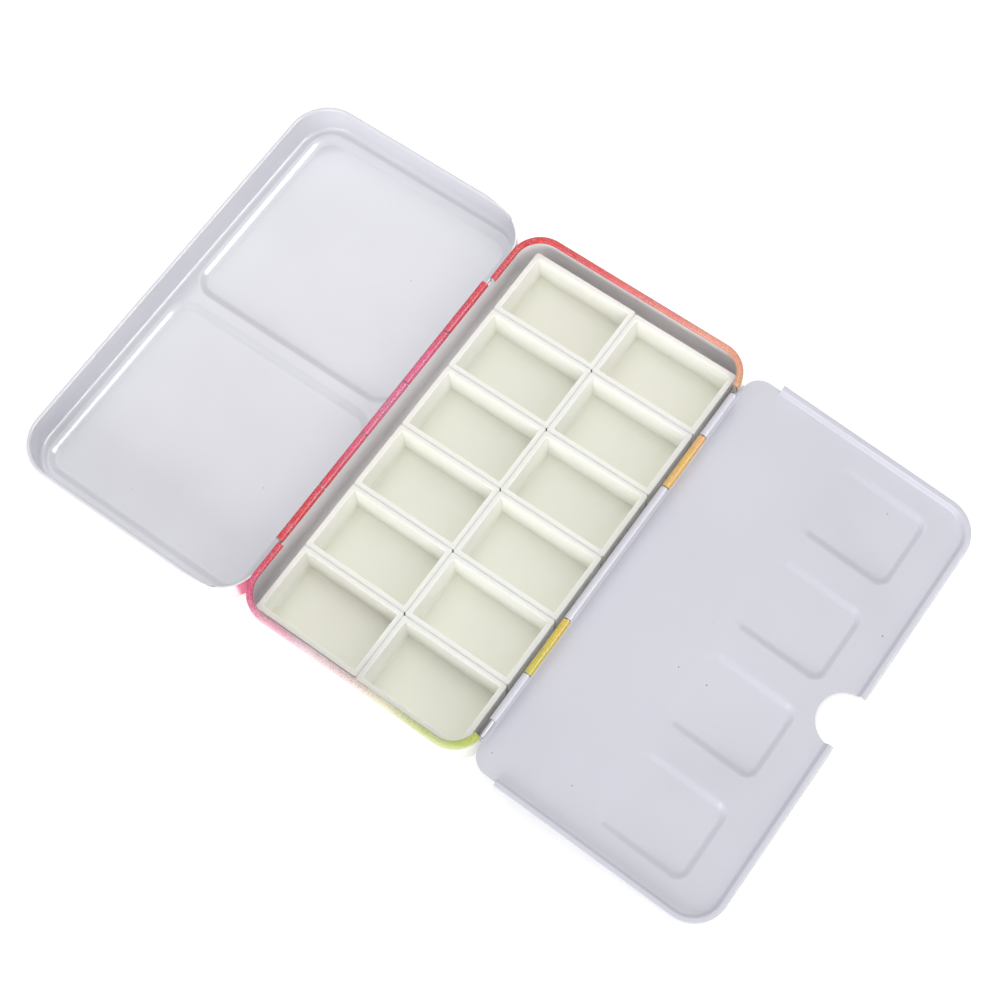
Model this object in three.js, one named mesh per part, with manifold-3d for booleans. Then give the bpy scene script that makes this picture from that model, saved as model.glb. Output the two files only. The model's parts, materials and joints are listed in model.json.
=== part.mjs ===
// An empty watercolour tin, lying fully open: a pressed sheet-metal tray with a rolled rim,
// a lid with two mixing wells, a folding palette flap with four small wells,
// two wire hinge pins and twelve loose plastic pans.
// Millimetres, +Z up, origin in the middle of the tray's underside,
// +X towards the flap's hinge, +Y along the hinges.
import * as THREE from 'three';
import { mergeVertices } from 'three/addons/utils/BufferGeometryUtils.js';
import Module from 'manifold-3d';

const wasm = await Module();
wasm.setup();

// Sheet metal and the gaps that moving and loose pieces keep
const sheet = 0.3;
const clearance = 0.3;
const standGap = 0.1;
const cutOverrun = 3;

// Tray
const trayLength = 123;
const trayWidth = 68.2;
const trayHeight = 13;
const trayCornerRadius = 8.5;
const footRadius = 1.5;
const rimRollDiameter = 1.7;
const rimRollSweep = 235;

// Wire hinges: the sheet is rolled round a wire, in fingers that interleave
const pinDiameter = 1.1;
const pinClearance = 0.2;
const wallToAxis = 0.15;
const rollSweepPastTop = 105;
const tongueOverlap = 0.6;
const lidSideFingers = 5;
const lidFingerLength = 16.9;
const lidHingeOffset = -0.8;
const lidRimLowGap = 1.4;
const lidRimHighGap = 2;
const flapMiddleFinger = 40.8;
const flapTrayFinger = 16.3;
const flapEndFinger = 13.6;
const flapHingeOffset = 0.7;
const flapRimLowGap = 4.95;
const flapRimHighGap = 2.05;

// Lid, measured in its own frame: the hinge axis is x = 0 and the lid reaches to -x
const lidShallower = 2.5;
const lidRimDrop = 0.4;
const lidBeadDiameter = 1.1;
const lidBeadSweep = 250;
const lidBeadStart = 15;
const lidCornerEase = 1.5;
const lidWellDepth = 3;
const lidLedgeWidth = 2.9;
const lidWellSlope = 2.5;
const lidWellCornerRadius = 6.5;
const lidDividerWidth = 2.4;

// Palette flap, measured in its own frame: the hinge axis is x = 0, the flap reaches to +x
const flapReachGap = 1.1;
const flapEndInset = 0.1;
const flapCornerEase = 0.8;
const flapHingeCornerRadius = 5;
const lipHeight = 1.5;
const lipWidth = 2.3;
const lipFlange = 1.2;
const lipHem = 0.7;
const lipStart = 8.6;
const flapBendRadius = 0.6;
const notchRadius = 7;
const notchInset = 1.1;
const flapWellCount = 4;
const flapWellPitch = 28.9;
const flapWellWidth = 22;
const flapWellNear = 30;
const flapWellEndGap = 10.4;
const flapWellDepth = 1.8;
const flapWellSlope = 2.2;
const flapWellCornerRadius = 4;

// Pans
const panRows = 6;
const panTopDrop = 4;
const panWall = 1.3;
const panFloor = 1.2;
const panCornerRadius = 1.2;
const panInnerRadius = 0.5;
const panDraft = 0.45;
const panInnerDraft = 0.65;
const panRimRadius = 0.2;
const panFootRadius = 0.5;
const panFillet = 0.4;
const panFilletShares = [1 / 3, 1 / 4];
const panGap = 0.15;
const panFlapSideGap = 2.5;
const panLidSideGap = 4.35;
const panEndPlay = 4.02;
const panStagger = 0.4;

// Facets
const cornerSteps = 6;
const smallCornerSteps = 3;
const footSteps = 3;
const rollSteps = 8;
const fingerSteps = 10;
const notchSteps = 24;
const pinSides = 12;

// Places that follow from the sizes
const pinRadius = pinDiameter / 2;
const fingerInner = pinRadius + pinClearance;
const fingerOuter = fingerInner + sheet;
const axisHeight = trayHeight - fingerOuter;
const axisX = trayWidth / 2 + wallToAxis;
const hingeSpan = 2 * axisX;
const slotDrop = fingerOuter + clearance;
const trayInnerLength = trayLength - 2 * sheet;
const trayInnerWidth = trayWidth - 2 * sheet;

const materials = {
  printedTin: { color: 0xf0b8b4, roughness: 0.38, metalness: 0.1 },
  enamel: { color: 0xe4e4ea, roughness: 0.32, metalness: 0.05 },
  paletteEnamel: { color: 0xdadae6, roughness: 0.4, metalness: 0.05 },
  steelWire: { color: 0xc4c6c8, roughness: 0.3, metalness: 1 },
  ivoryPlastic: { color: 0xf1f1e6, roughness: 0.45, metalness: 0 },
};

function radians(degrees) {
  return THREE.MathUtils.degToRad(degrees);
}

// A rounded rectangle's corners as one ring of points, counter-clockwise from above.
// The height is a number or a function of x.
function ring(area, inset, height, steps = cornerSteps) {
  const radius = Math.max(area.radius - inset, area.radius * ring.leastRadiusShare);
  const points = [];
  const corners = [
    [area.right - inset - radius, area.top - inset - radius, 0],
    [area.left + inset + radius, area.top - inset - radius, Math.PI / 2],
    [area.left + inset + radius, area.bottom + inset + radius, Math.PI],
    [area.right - inset - radius, area.bottom + inset + radius, 1.5 * Math.PI],
  ];
  for (const [centreX, centreY, start] of corners) {
    for (let step = 0; step <= steps; step += 1) {
      const angle = start + (step / steps) * Math.PI / 2;
      const x = centreX + radius * Math.cos(angle);
      const z = typeof height === 'function' ? height(x) : height;
      points.push(new THREE.Vector3(x, centreY + radius * Math.sin(angle), z));
    }
  }
  return points;
}
ring.leastRadiusShare = 0.08;

// A closed skin through a stack of rings, with both ends capped.
function loft(rings) {
  const count = rings[0].length;
  const positions = rings.flat().flatMap((point) => [point.x, point.y, point.z]);
  const indices = [];
  for (let level = 0; level < rings.length - 1; level += 1) {
    for (let side = 0; side < count; side += 1) {
      const next = (side + 1) % count;
      const low = level * count;
      const high = low + count;
      indices.push(low + side, low + next, high + next);
      indices.push(low + side, high + next, high + side);
    }
  }
  const last = (rings.length - 1) * count;
  for (let side = 1; side < count - 1; side += 1) {
    indices.push(0, side + 1, side);
    indices.push(last, last + side, last + side + 1);
  }
  const geometry = new THREE.BufferGeometry();
  geometry.setAttribute('position', new THREE.Float32BufferAttribute(positions, 3));
  geometry.setIndex(indices);
  return geometry;
}

function solid(geometry) {
  const bare = geometry.clone();
  bare.deleteAttribute('normal');
  bare.deleteAttribute('uv');
  const merged = mergeVertices(bare);
  return new wasm.Manifold(new wasm.Mesh({
    numProp: 3,
    vertProperties: new Float32Array(merged.attributes.position.array),
    triVerts: new Uint32Array(merged.index.array),
  }));
}

function surface(manifold) {
  const mesh = manifold.getMesh();
  const geometry = new THREE.BufferGeometry();
  geometry.setAttribute('position', new THREE.BufferAttribute(mesh.vertProperties, mesh.numProp));
  geometry.setIndex(new THREE.BufferAttribute(mesh.triVerts, 1));
  geometry.computeVertexNormals();
  return geometry;
}

function block(left, right, bottom, top, low, high) {
  const geometry = new THREE.BoxGeometry(right - left, top - bottom, high - low);
  geometry.translate((left + right) / 2, (bottom + top) / 2, (low + high) / 2);
  return solid(geometry);
}

// An outline in the x-z plane, extruded along y.
function barAlongY(outline, bottom, top) {
  const shape = new THREE.Shape(outline);
  const geometry = new THREE.ExtrudeGeometry(shape, { depth: top - bottom, bevelEnabled: false });
  geometry.rotateX(Math.PI / 2);
  geometry.translate(0, top, 0);
  return solid(geometry);
}

function joined(first, others) {
  return others.reduce((sum, next) => sum.add(next), first);
}

function cut(first, others) {
  return others.reduce((rest, next) => rest.subtract(next), first);
}

// Points on an arc, from one angle to another in degrees.
function arc(centreX, centreZ, radius, from, to, steps) {
  const points = [];
  for (let step = 0; step <= steps; step += 1) {
    const angle = radians(from + (to - from) * (step / steps));
    points.push(new THREE.Vector2(
      centreX + radius * Math.cos(angle),
      centreZ + radius * Math.sin(angle),
    ));
  }
  return points;
}

// The profile of a pressed pan's wall as [inset, height] pairs: from the underside, round the
// foot, up the outside, over the given edge, and down the inside to the floor.
function wallProfile(low, floorRadius, edge) {
  const outside = arc(floorRadius, low + floorRadius, floorRadius, 270, 180, footSteps);
  const inner = floorRadius - sheet;
  const inside = arc(floorRadius, low + floorRadius, inner, 180, 270, footSteps);
  return [...outside, ...edge, ...inside];
}

// Sheet rolled inwards at the top of a wall, seen with the outside at inset zero.
function rollInwards(top) {
  const radius = rimRollDiameter / 2;
  const end = 180 - rimRollSweep;
  return [
    ...arc(radius, top - radius, radius, 180, end, rollSteps),
    ...arc(radius, top - radius, radius - sheet, end, 180, rollSteps),
  ];
}

// Sheet rolled outwards at the top of a wall into a small bead.
function beadOutwards(top) {
  const radius = lidBeadDiameter / 2;
  const centre = sheet - radius;
  const end = lidBeadSweep;
  return [
    ...arc(centre, top - radius, radius - sheet, 0, end, rollSteps).filter((point, index) => index > 0),
    ...arc(centre, top - radius, radius, end, 0, rollSteps),
  ];
}

// One hinge finger's outline about its axis, for a wall that stands on the -x side of it:
// up the wall, under the wire, round its far side and back over the top.
// The lean is the wall's slope away from the upright.
function fingerOutline(lean) {
  const outerFace = -wallToAxis;
  const innerFace = outerFace - sheet;
  const low = -slotDrop - tongueOverlap;
  const shift = -lean * tongueOverlap;
  const outerStart = -90 - THREE.MathUtils.radToDeg(Math.asin(wallToAxis / fingerOuter));
  const innerStart = -90 - THREE.MathUtils.radToDeg(Math.asin((wallToAxis + sheet) / fingerInner));
  const end = 90 + rollSweepPastTop;
  return [
    new THREE.Vector2(outerFace + shift, low),
    ...arc(0, 0, fingerOuter, outerStart, end, fingerSteps),
    ...arc(0, 0, fingerInner, end, innerStart, fingerSteps),
    new THREE.Vector2(innerFace + shift, low),
  ];
}

function finger([bottom, top], mirrored, x, z, lean = 0) {
  const bar = barAlongY(fingerOutline(lean), bottom, top);
  const turned = mirrored ? bar.mirror([1, 0, 0]) : bar;
  return turned.translate([x, 0, z]);
}

// The stretches along a hinge, as [bottom, top] pairs, with the running gap between neighbours.
function lidHingeStretches() {
  const first = lidHingeOffset - (lidSideFingers * lidFingerLength) / 2;
  return Array.from({ length: lidSideFingers }, (unused, index) => [
    first + index * lidFingerLength + clearance / 2,
    first + (index + 1) * lidFingerLength - clearance / 2,
  ]);
}

function flapHingeStretches() {
  const lengths = [flapEndFinger, flapTrayFinger, flapMiddleFinger, flapTrayFinger, flapEndFinger];
  const total = lengths.reduce((sum, length) => sum + length, 0);
  let start = flapHingeOffset - total / 2;
  return lengths.map((length) => {
    const stretch = [start + clearance / 2, start + length - clearance / 2];
    start += length;
    return stretch;
  });
}

// The angle at which a flap on the hinge axis rests with the given low point on the table.
function droopToTable(reach, depth) {
  const drop = axisHeight - standGap;
  return Math.asin(drop / Math.hypot(reach, depth)) - Math.atan2(depth, reach);
}

const lidStretches = lidHingeStretches();
const flapStretches = flapHingeStretches();
const lidFingers = lidStretches.filter((stretch, index) => index % 2 === 0);
const trayFingersLidSide = lidStretches.filter((stretch, index) => index % 2 === 1);
const flapFingers = flapStretches.filter((stretch, index) => index % 2 === 0);
const trayFingersFlapSide = flapStretches.filter((stretch, index) => index % 2 === 1);

// Where the rolled rim stops beside each hinge, as [bottom, top].
const lidRimGap = [lidStretches[0][0] - lidRimLowGap, lidStretches.at(-1)[1] + lidRimHighGap];
const flapRimGap = [flapStretches[0][0] - flapRimLowGap, flapStretches.at(-1)[1] + flapRimHighGap];

function trayGeometry() {
  const area = {
    left: -trayWidth / 2,
    right: trayWidth / 2,
    bottom: -trayLength / 2,
    top: trayLength / 2,
    radius: trayCornerRadius,
  };
  const profile = wallProfile(0, footRadius, rollInwards(trayHeight));
  const shell = solid(loft(profile.map((point) => ring(area, point.x, point.y))));
  const slotHeight = axisHeight - slotDrop;
  const rimDepth = rimRollDiameter + sheet;
  const high = trayHeight + cutOverrun;
  const opened = cut(shell, [
    block(area.left - cutOverrun, area.left + rimDepth, ...lidRimGap, slotHeight, high),
    block(area.right - rimDepth, area.right + cutOverrun, ...flapRimGap, slotHeight, high),
  ]);
  return surface(joined(opened, [
    ...trayFingersLidSide.map((stretch) => finger(stretch, true, -axisX, axisHeight)),
    ...trayFingersFlapSide.map((stretch) => finger(stretch, false, axisX, axisHeight)),
  ]));
}

// Lid
const lidInnerReach = hingeSpan + fingerOuter + clearance;
const lidHalfLength = trayLength / 2 + clearance + sheet;
const lidArea = {
  left: -lidInnerReach - sheet,
  right: -wallToAxis,
  bottom: -lidHalfLength,
  top: lidHalfLength,
  radius: trayCornerRadius + lidCornerEase + sheet,
};
const lidLowest = -lidRimDrop - (trayHeight - lidShallower);
const lidLedge = lidLowest + sheet + lidWellDepth;
const wellShapeShares = [
  [0, 0],
  [0.22, 0.1],
  [0.78, 0.9],
  [1, 1],
];
const lidWellNear = lidArea.right - sheet - lidLedgeWidth;
const lidWellFar = lidArea.left + sheet + lidLedgeWidth;

function lidWellArea(side) {
  const middle = side * lidDividerWidth / 2;
  const end = side * (lidHalfLength - sheet - lidLedgeWidth);
  return {
    left: lidWellFar,
    right: lidWellNear,
    bottom: Math.min(middle, end),
    top: Math.max(middle, end),
    radius: lidWellCornerRadius,
  };
}

// A pressed well: the hollow itself, or with grow the sheet's outside round it.
function wellStamp(area, slope, topHeight, depthAt, grow) {
  const rings = wellShapeShares.map(([insetShare, depthShare]) => ring(
    area,
    insetShare * slope - grow,
    (x) => topHeight - depthShare * depthAt(x) - grow,
    smallCornerSteps,
  ));
  const lead = grow > 0 ? topHeight - grow / 2 : topHeight + cutOverrun;
  const rim = ring(area, -grow, lead, smallCornerSteps);
  return solid(loft([...rings.reverse(), rim]));
}

function lidGeometry() {
  const top = -lidRimDrop;
  const profile = wallProfile(lidLedge - sheet, footRadius, beadOutwards(top));
  const shell = solid(loft(profile.map((point) => ring(lidArea, point.x, point.y))));
  const bodies = [-1, 1].map((side) => lidWellArea(side));
  const depthAt = () => lidWellDepth;
  const outsides = bodies.map((area) => wellStamp(area, lidWellSlope, lidLedge, depthAt, sheet));
  const hollows = bodies.map((area) => wellStamp(area, lidWellSlope, lidLedge, depthAt, 0));
  const lowRim = top - lidBeadDiameter;
  const halfLength = lidHalfLength + lidBeadDiameter + cutOverrun;
  const trim = block(-lidBeadStart, cutOverrun, -halfLength, halfLength, lowRim, cutOverrun);
  const pressed = cut(joined(shell, outsides), [...hollows, trim]);
  return surface(joined(pressed, lidFingers.map((stretch) => finger(stretch, false, 0, 0))));
}

// Palette flap
const flapReach = hingeSpan - flapReachGap;
const flapHalfLength = trayLength / 2 - flapEndInset;
const flapCornerRadius = trayCornerRadius + lidCornerEase - flapCornerEase;
const flapLipTop = -slotDrop;
const flapFace = flapLipTop - lipHeight;
const flapUnder = flapFace - sheet;
const flapWellFar = flapReach - flapWellEndGap;
const flapWellFloor = flapWellFar - flapWellSlope;

const flapDroop = droopToTable(flapWellFloor, flapWellDepth - flapUnder);
const flapLeanSlope = Math.tan(flapDroop) * flapUnder / (flapUnder - flapLipTop);
const flapHingeEdge = wallToAxis - flapUnder * Math.tan(flapDroop);

function flapWellDepthAt(x) {
  const share = (x - flapWellNear) / (flapWellFloor - flapWellNear);
  return flapWellDepth * THREE.MathUtils.clamp(share, 0, 1);
}

// The turned-up lip's section as [inset, height] pairs, from the underside to the painted face.
function lipProfile() {
  const hemRadius = lipHem / 2;
  const slopeTop = lipFlange;
  return [
    new THREE.Vector2(lipWidth + sheet, flapUnder),
    new THREE.Vector2(lipWidth - sheet, flapUnder),
    new THREE.Vector2(slopeTop - sheet / 2, flapLipTop - lipHem),
    ...arc(hemRadius, flapLipTop - hemRadius, hemRadius, 270, 90, smallCornerSteps),
    new THREE.Vector2(slopeTop, flapLipTop),
    new THREE.Vector2(lipWidth, flapFace),
    new THREE.Vector2(lipWidth + sheet, flapFace),
  ];
}

function flapGeometry() {
  const lipArea = {
    left: -flapReach,
    right: flapReach,
    bottom: -flapHalfLength,
    top: flapHalfLength,
    radius: flapCornerRadius,
  };
  const plateInset = lipFlange;
  const plateArea = {
    left: flapHingeEdge,
    right: flapReach,
    bottom: -flapHalfLength + plateInset,
    top: flapHalfLength - plateInset,
    radius: flapHingeCornerRadius,
  };
  const reach = flapReach + cutOverrun;
  const half = flapHalfLength + cutOverrun;
  const lipped = solid(loft(lipProfile().map((point) => ring(lipArea, point.x, point.y))))
    .intersect(block(lipStart, reach, -half, half, -reach, reach));
  const plate = solid(loft([ring(plateArea, 0, flapUnder), ring(plateArea, 0, flapFace)]))
    .intersect(block(-reach, lipStart + sheet, -half, half, -reach, reach));
  const bendHalf = plateArea.top - plateArea.radius;
  const bendEnd = flapHingeEdge + 2 * flapBendRadius;
  const bendOutline = [
    new THREE.Vector2(wallToAxis, flapLipTop),
    ...arc(flapHingeEdge + flapBendRadius, flapUnder + flapBendRadius, flapBendRadius,
      180, 270, footSteps),
    new THREE.Vector2(bendEnd + sheet, flapUnder),
    new THREE.Vector2(bendEnd + sheet, flapFace),
    ...arc(flapHingeEdge + flapBendRadius, flapUnder + flapBendRadius, flapBendRadius - sheet,
      270, 180, footSteps),
    new THREE.Vector2(wallToAxis + sheet, flapLipTop),
  ];
  const bend = barAlongY(bendOutline, -bendHalf, bendHalf);
  const bendRoom = block(-cutOverrun, bendEnd, -bendHalf, bendHalf, flapUnder - cutOverrun, 0);
  const wells = Array.from({ length: flapWellCount }, (unused, index) => {
    const middle = (index - (flapWellCount - 1) / 2) * flapWellPitch;
    return {
      left: flapWellNear,
      right: flapWellFar,
      bottom: middle - flapWellWidth / 2,
      top: middle + flapWellWidth / 2,
      radius: flapWellCornerRadius,
    };
  });
  const stamp = (grow) => wells.map((area) => wellStamp(
    area, flapWellSlope, flapFace, flapWellDepthAt, grow,
  ));
  const notch = new THREE.CylinderGeometry(notchRadius, notchRadius, 2 * reach, notchSteps);
  notch.rotateX(Math.PI / 2);
  notch.translate(flapReach - notchInset, 0, 0);
  const metal = joined(cut(plate, [bendRoom]), [lipped, bend, ...stamp(sheet)]);
  const shaped = cut(metal, [...stamp(0), solid(notch)]);
  const fingers = flapFingers.map((stretch) => finger(stretch, true, 0, 0, flapLeanSlope));
  return surface(joined(shaped, fingers));
}

function pinGeometry(bottom, top) {
  const geometry = new THREE.CylinderGeometry(pinRadius, pinRadius, top - bottom, pinSides);
  geometry.translate(0, (bottom + top) / 2, 0);
  return geometry;
}

// Pans: the corner of the last pan in the flap-side row just clears the tray's rounded corner.
const trayInnerRadius = trayCornerRadius - sheet;
const panCornerReach = trayInnerRadius - panCornerRadius;
const panCornerSide = Math.max(panCornerReach - panFlapSideGap, 0);
const panEndGap = panCornerReach - Math.sqrt((panCornerReach - panGap) ** 2 - panCornerSide ** 2);
const panPitch = (trayInnerLength - panEndGap - panEndPlay) / panRows;
const panWidth = panPitch - panGap;
const panLength = (trayInnerWidth - panFlapSideGap - panLidSideGap - panGap) / 2;
const panHeight = trayHeight - panTopDrop - sheet;

function panGeometry() {
  const area = {
    left: -panLength / 2,
    right: panLength / 2,
    bottom: -panWidth / 2,
    top: panWidth / 2,
    radius: panCornerRadius,
  };
  const hollow = {
    left: area.left + panWall,
    right: area.right - panWall,
    bottom: area.bottom + panWall,
    top: area.top - panWall,
    radius: panInnerRadius,
  };
  const shoulder = panHeight - panRimRadius;
  const floorStart = panFloor + panFillet;
  const [turnInset, turnHeight] = panFilletShares.map((share) => share * panFillet);
  const rings = [
    ring(area, panDraft + panFootRadius, 0, smallCornerSteps),
    ring(area, panDraft, panFootRadius, smallCornerSteps),
    ring(area, 0, shoulder, smallCornerSteps),
    ring(area, panRimRadius, panHeight, smallCornerSteps),
    ring(hollow, -panRimRadius, panHeight, smallCornerSteps),
    ring(hollow, 0, shoulder, smallCornerSteps),
    ring(hollow, panInnerDraft, floorStart, smallCornerSteps),
    ring(hollow, panInnerDraft + turnInset, panFloor + turnHeight, smallCornerSteps),
    ring(hollow, panInnerDraft + panFillet, panFloor, smallCornerSteps),
  ];
  return loft(rings);
}

function mesh(name, geometry, finish) {
  const piece = new THREE.Mesh(geometry, new THREE.MeshStandardMaterial(materials[finish]));
  piece.name = name;
  return piece;
}

const tin = new THREE.Group();
tin.add(mesh('base_tray', trayGeometry(), 'printedTin'));

const lid = mesh('lid_shell', lidGeometry(), 'enamel');
lid.position.set(-axisX, 0, axisHeight);
lid.rotation.y = -droopToTable(-lidWellFar - lidWellSlope, -lidLowest);
tin.add(lid);

const flap = mesh('palette_flap', flapGeometry(), 'paletteEnamel');
flap.position.set(axisX, 0, axisHeight);
flap.rotation.y = flapDroop;
tin.add(flap);

const lidPin = mesh('lid_hinge_pin', pinGeometry(lidFingers[0][0], lidFingers.at(-1)[1]), 'steelWire');
lidPin.position.set(-axisX, 0, axisHeight);
tin.add(lidPin);

const flapPinEnd = flapRimGap[0] + clearance;
const flapPin = mesh('flap_hinge_pin', pinGeometry(flapPinEnd, flapFingers.at(-1)[1]), 'steelWire');
flapPin.position.set(axisX, 0, axisHeight);
tin.add(flapPin);

const flapRowX = trayInnerWidth / 2 - panFlapSideGap - panLength / 2;
const lowestPanY = -trayInnerLength / 2 + panEndGap + panWidth / 2;
const panRowsPlaced = [
  { name: 'pan_lid_side', x: flapRowX - panLength - panGap, shift: panStagger },
  { name: 'pan_flap_side', x: flapRowX, shift: 0 },
];
for (const row of panRowsPlaced) {
  for (let index = 0; index < panRows; index += 1) {
    const pan = mesh(`${row.name}_${index + 1}`, panGeometry(), 'ivoryPlastic');
    pan.position.set(row.x, lowestPanY + row.shift + index * panPitch, sheet);
    tin.add(pan);
  }
}

export default tin;
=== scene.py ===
import json

import bpy
import numpy as np
from mathutils import Matrix, Vector
from mathutils.geometry import tessellate_polygon


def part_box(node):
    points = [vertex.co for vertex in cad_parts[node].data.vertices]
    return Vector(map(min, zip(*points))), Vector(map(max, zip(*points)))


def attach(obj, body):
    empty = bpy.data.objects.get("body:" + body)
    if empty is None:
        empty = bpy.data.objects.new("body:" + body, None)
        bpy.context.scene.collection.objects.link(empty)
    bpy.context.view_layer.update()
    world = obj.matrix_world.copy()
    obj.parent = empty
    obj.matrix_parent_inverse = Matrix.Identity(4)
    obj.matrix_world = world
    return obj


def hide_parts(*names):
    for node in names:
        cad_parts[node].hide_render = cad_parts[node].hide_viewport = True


# An empty watercolour tin, lying open on a white table: printed tray, white lid with two
# mixing wells, palette flap with four small wells, two hinge wires and twelve pans.
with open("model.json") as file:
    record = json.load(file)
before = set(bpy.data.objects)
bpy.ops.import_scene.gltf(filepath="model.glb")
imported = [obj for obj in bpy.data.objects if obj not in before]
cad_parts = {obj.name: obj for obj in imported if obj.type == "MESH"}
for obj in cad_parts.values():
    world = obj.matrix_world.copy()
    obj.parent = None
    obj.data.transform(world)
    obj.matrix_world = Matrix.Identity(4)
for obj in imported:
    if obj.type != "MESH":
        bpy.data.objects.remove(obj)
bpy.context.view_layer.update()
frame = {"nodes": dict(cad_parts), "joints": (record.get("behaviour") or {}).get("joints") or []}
print("frame loaded:", len(frame["nodes"]), "nodes")

mm = 0.001  # sizes below are in millimetres
support = 0.08  # flat border beside a bend, which keeps the flats shading flat
sharpAngle = 38  # degrees, past which a bend shades as an edge

metal = {
    "sheet": 0.3,  # thickness of tray, lid and flap
    "tongueGap": 0.3,  # between fingers, below them and inside the closed lid's walls
    "wireDiameter": 1.1,
    "wireClearance": 0.2,
    "wallToAxis": 0.15,
    "sweepPastTop": 105,  # degrees that a finger is rolled past its top
    "rollSteps": 20,
    "cornerSteps": 24,
    "footSteps": 10,
}

# Sizes that follow from the sheet and the wire
sheet = metal["sheet"]
gap = metal["tongueGap"]
wireRadius = metal["wireDiameter"] / 2
fingerInner = wireRadius + metal["wireClearance"]
fingerOuter = fingerInner + sheet
slotDrop = fingerOuter + gap


# A skin collects patches of points and faces, and becomes one mesh with its seams closed.
def newSkin():
    return {"points": [], "count": 0, "faces": []}


def addPoints(skin, points):
    # Files a grid of points and gives back the number of each.
    flat = np.asarray(points, float).reshape(-1, 3)
    index = np.arange(len(flat)).reshape(np.shape(points)[:-1]) + skin["count"]
    skin["points"].append(flat)
    skin["count"] += len(flat)
    return index


def addFaces(skin, index, columns=None, closed=True):
    # Quads between neighbouring rows of an index grid, for the chosen columns.
    following = np.roll(index, -1, axis=1) if closed else index[:, 1:]
    present = index if closed else index[:, :-1]
    quads = np.stack([present[:-1], following[:-1], following[1:], present[1:]], axis=-1)
    if columns is not None:
        quads = quads[:, columns]
    skin["faces"].append(quads.reshape(-1, 4))


def addFlat(skin, outer, holes=()):
    # A level or sloping plane inside one loop of points, with loops left open in it.
    points = np.concatenate(skin["points"])
    loops = [np.asarray(loop) for loop in (outer, *holes)]
    triangles = tessellate_polygon([points[loop].tolist() for loop in loops])
    order = np.concatenate(loops)
    corners = order[np.array(triangles)]
    edgeA = points[corners[:, 1]] - points[corners[:, 0]]
    edgeB = points[corners[:, 2]] - points[corners[:, 0]]
    down = np.cross(edgeA, edgeB)[:, 2] < 0
    corners[down] = corners[down][:, ::-1]
    skin["faces"].append(corners)


def skinMesh(name, skin, place=None):
    # Points that no face uses are left out, and the others are placed: turn * point + shift,
    # from a 4 x 4 matrix in millimetres.
    points = np.concatenate(skin["points"])
    used = np.unique(np.concatenate([faces.ravel() for faces in skin["faces"]]))
    renumber = np.zeros(len(points), int)
    renumber[used] = np.arange(len(used))
    points = points[used]
    if place is not None:
        turn = np.array(place)
        points = points @ turn[:3, :3].T + turn[:3, 3]
    mesh = bpy.data.meshes.new(name)
    faces = [face for rows in skin["faces"] for face in renumber[rows].tolist()]
    mesh.from_pydata((points * mm).tolist(), [], faces)
    piece = bpy.data.objects.new(name, mesh)
    bpy.context.scene.collection.objects.link(piece)
    return piece


def applyModifiers(piece):
    # The mesh that the modifiers give becomes the piece's own.
    view = bpy.context.evaluated_depsgraph_get()
    done = bpy.data.meshes.new_from_object(piece.evaluated_get(view))
    piece.modifiers.clear()
    piece.data = done


def smoothShade(piece):
    piece.data.shade_smooth()
    piece.data.set_sharp_from_angle(angle=np.radians(sharpAngle))


def thicken(piece, materials):
    # The skin is the sheet's inner face and its thickness goes to the other side. The
    # materials are those of the inner face, the outer face and the cut edge.
    for material in materials:
        piece.data.materials.append(material)
    solid = piece.modifiers.new("sheet", "SOLIDIFY")
    solid.thickness = sheet * mm
    solid.offset = -1
    solid.use_even_offset = True
    solid.use_quality_normals = True
    solid.material_offset = 1
    solid.material_offset_rim = 2
    applyModifiers(piece)
    smoothShade(piece)


def arc(centre, radius, start, end, steps):
    # centre + radius * (cos, sin), from one angle to another in degrees
    angles = np.radians(np.linspace(start, end, steps + 1))
    return np.stack([centre[0] + radius * np.cos(angles), centre[1] + radius * np.sin(angles)], -1)


def roundedPath(area, steps, marks=None):
    # Four quarter arcs joined by straight sides, anticlockwise from the right side's top end:
    # corner centre + radius * (cos, sin). Marks are places that get a point of their own.
    marks = marks or {}
    radius = area["radius"]
    points, normals = [], []
    for corner, (signX, signY) in enumerate([(1, 1), (-1, 1), (-1, -1), (1, -1)]):
        centreX = area["right"] - radius if signX > 0 else area["left"] + radius
        centreY = area["top"] - radius if signY > 0 else area["bottom"] + radius
        angles = corner * np.pi / 2 + np.linspace(0, np.pi / 2, steps + 1)
        side = np.array(marks.get("right" if signX > 0 else "left", []), float)
        sines = (side - centreY) / radius
        onArc = sines[(sines * signY > 0) & (sines * signY < 1)]
        turned = np.arcsin(onArc) if signX > 0 else np.pi - np.arcsin(onArc)
        angles = np.unique(np.concatenate([angles, turned + (2 * np.pi if corner == 3 else 0)]))
        normal = np.stack([np.cos(angles), np.sin(angles)], -1)
        points.append(np.array([centreX, centreY]) + radius * normal)
        normals.append(normal)
        after = ["top", "left", "bottom", "right"][corner]
        straight = np.array(marks.get(after, []), float)
        if after in ("top", "bottom"):
            inside = (straight > area["left"] + radius) & (straight < area["right"] - radius)
        else:
            inside = (straight > area["bottom"] + radius) & (straight < area["top"] - radius)
        straight = np.sort(straight[inside])
        if after in ("top", "left"):
            straight = straight[::-1]
        fixed = np.full(len(straight), area[after])
        across = after in ("top", "bottom")
        points.append(np.stack([straight, fixed] if across else [fixed, straight], -1))
        facing = {"top": (0, 1), "left": (-1, 0), "bottom": (0, -1), "right": (1, 0)}[after]
        normals.append(np.tile(np.array(facing, float), (len(straight), 1)))
    return np.concatenate(points), np.concatenate(normals)


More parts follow.
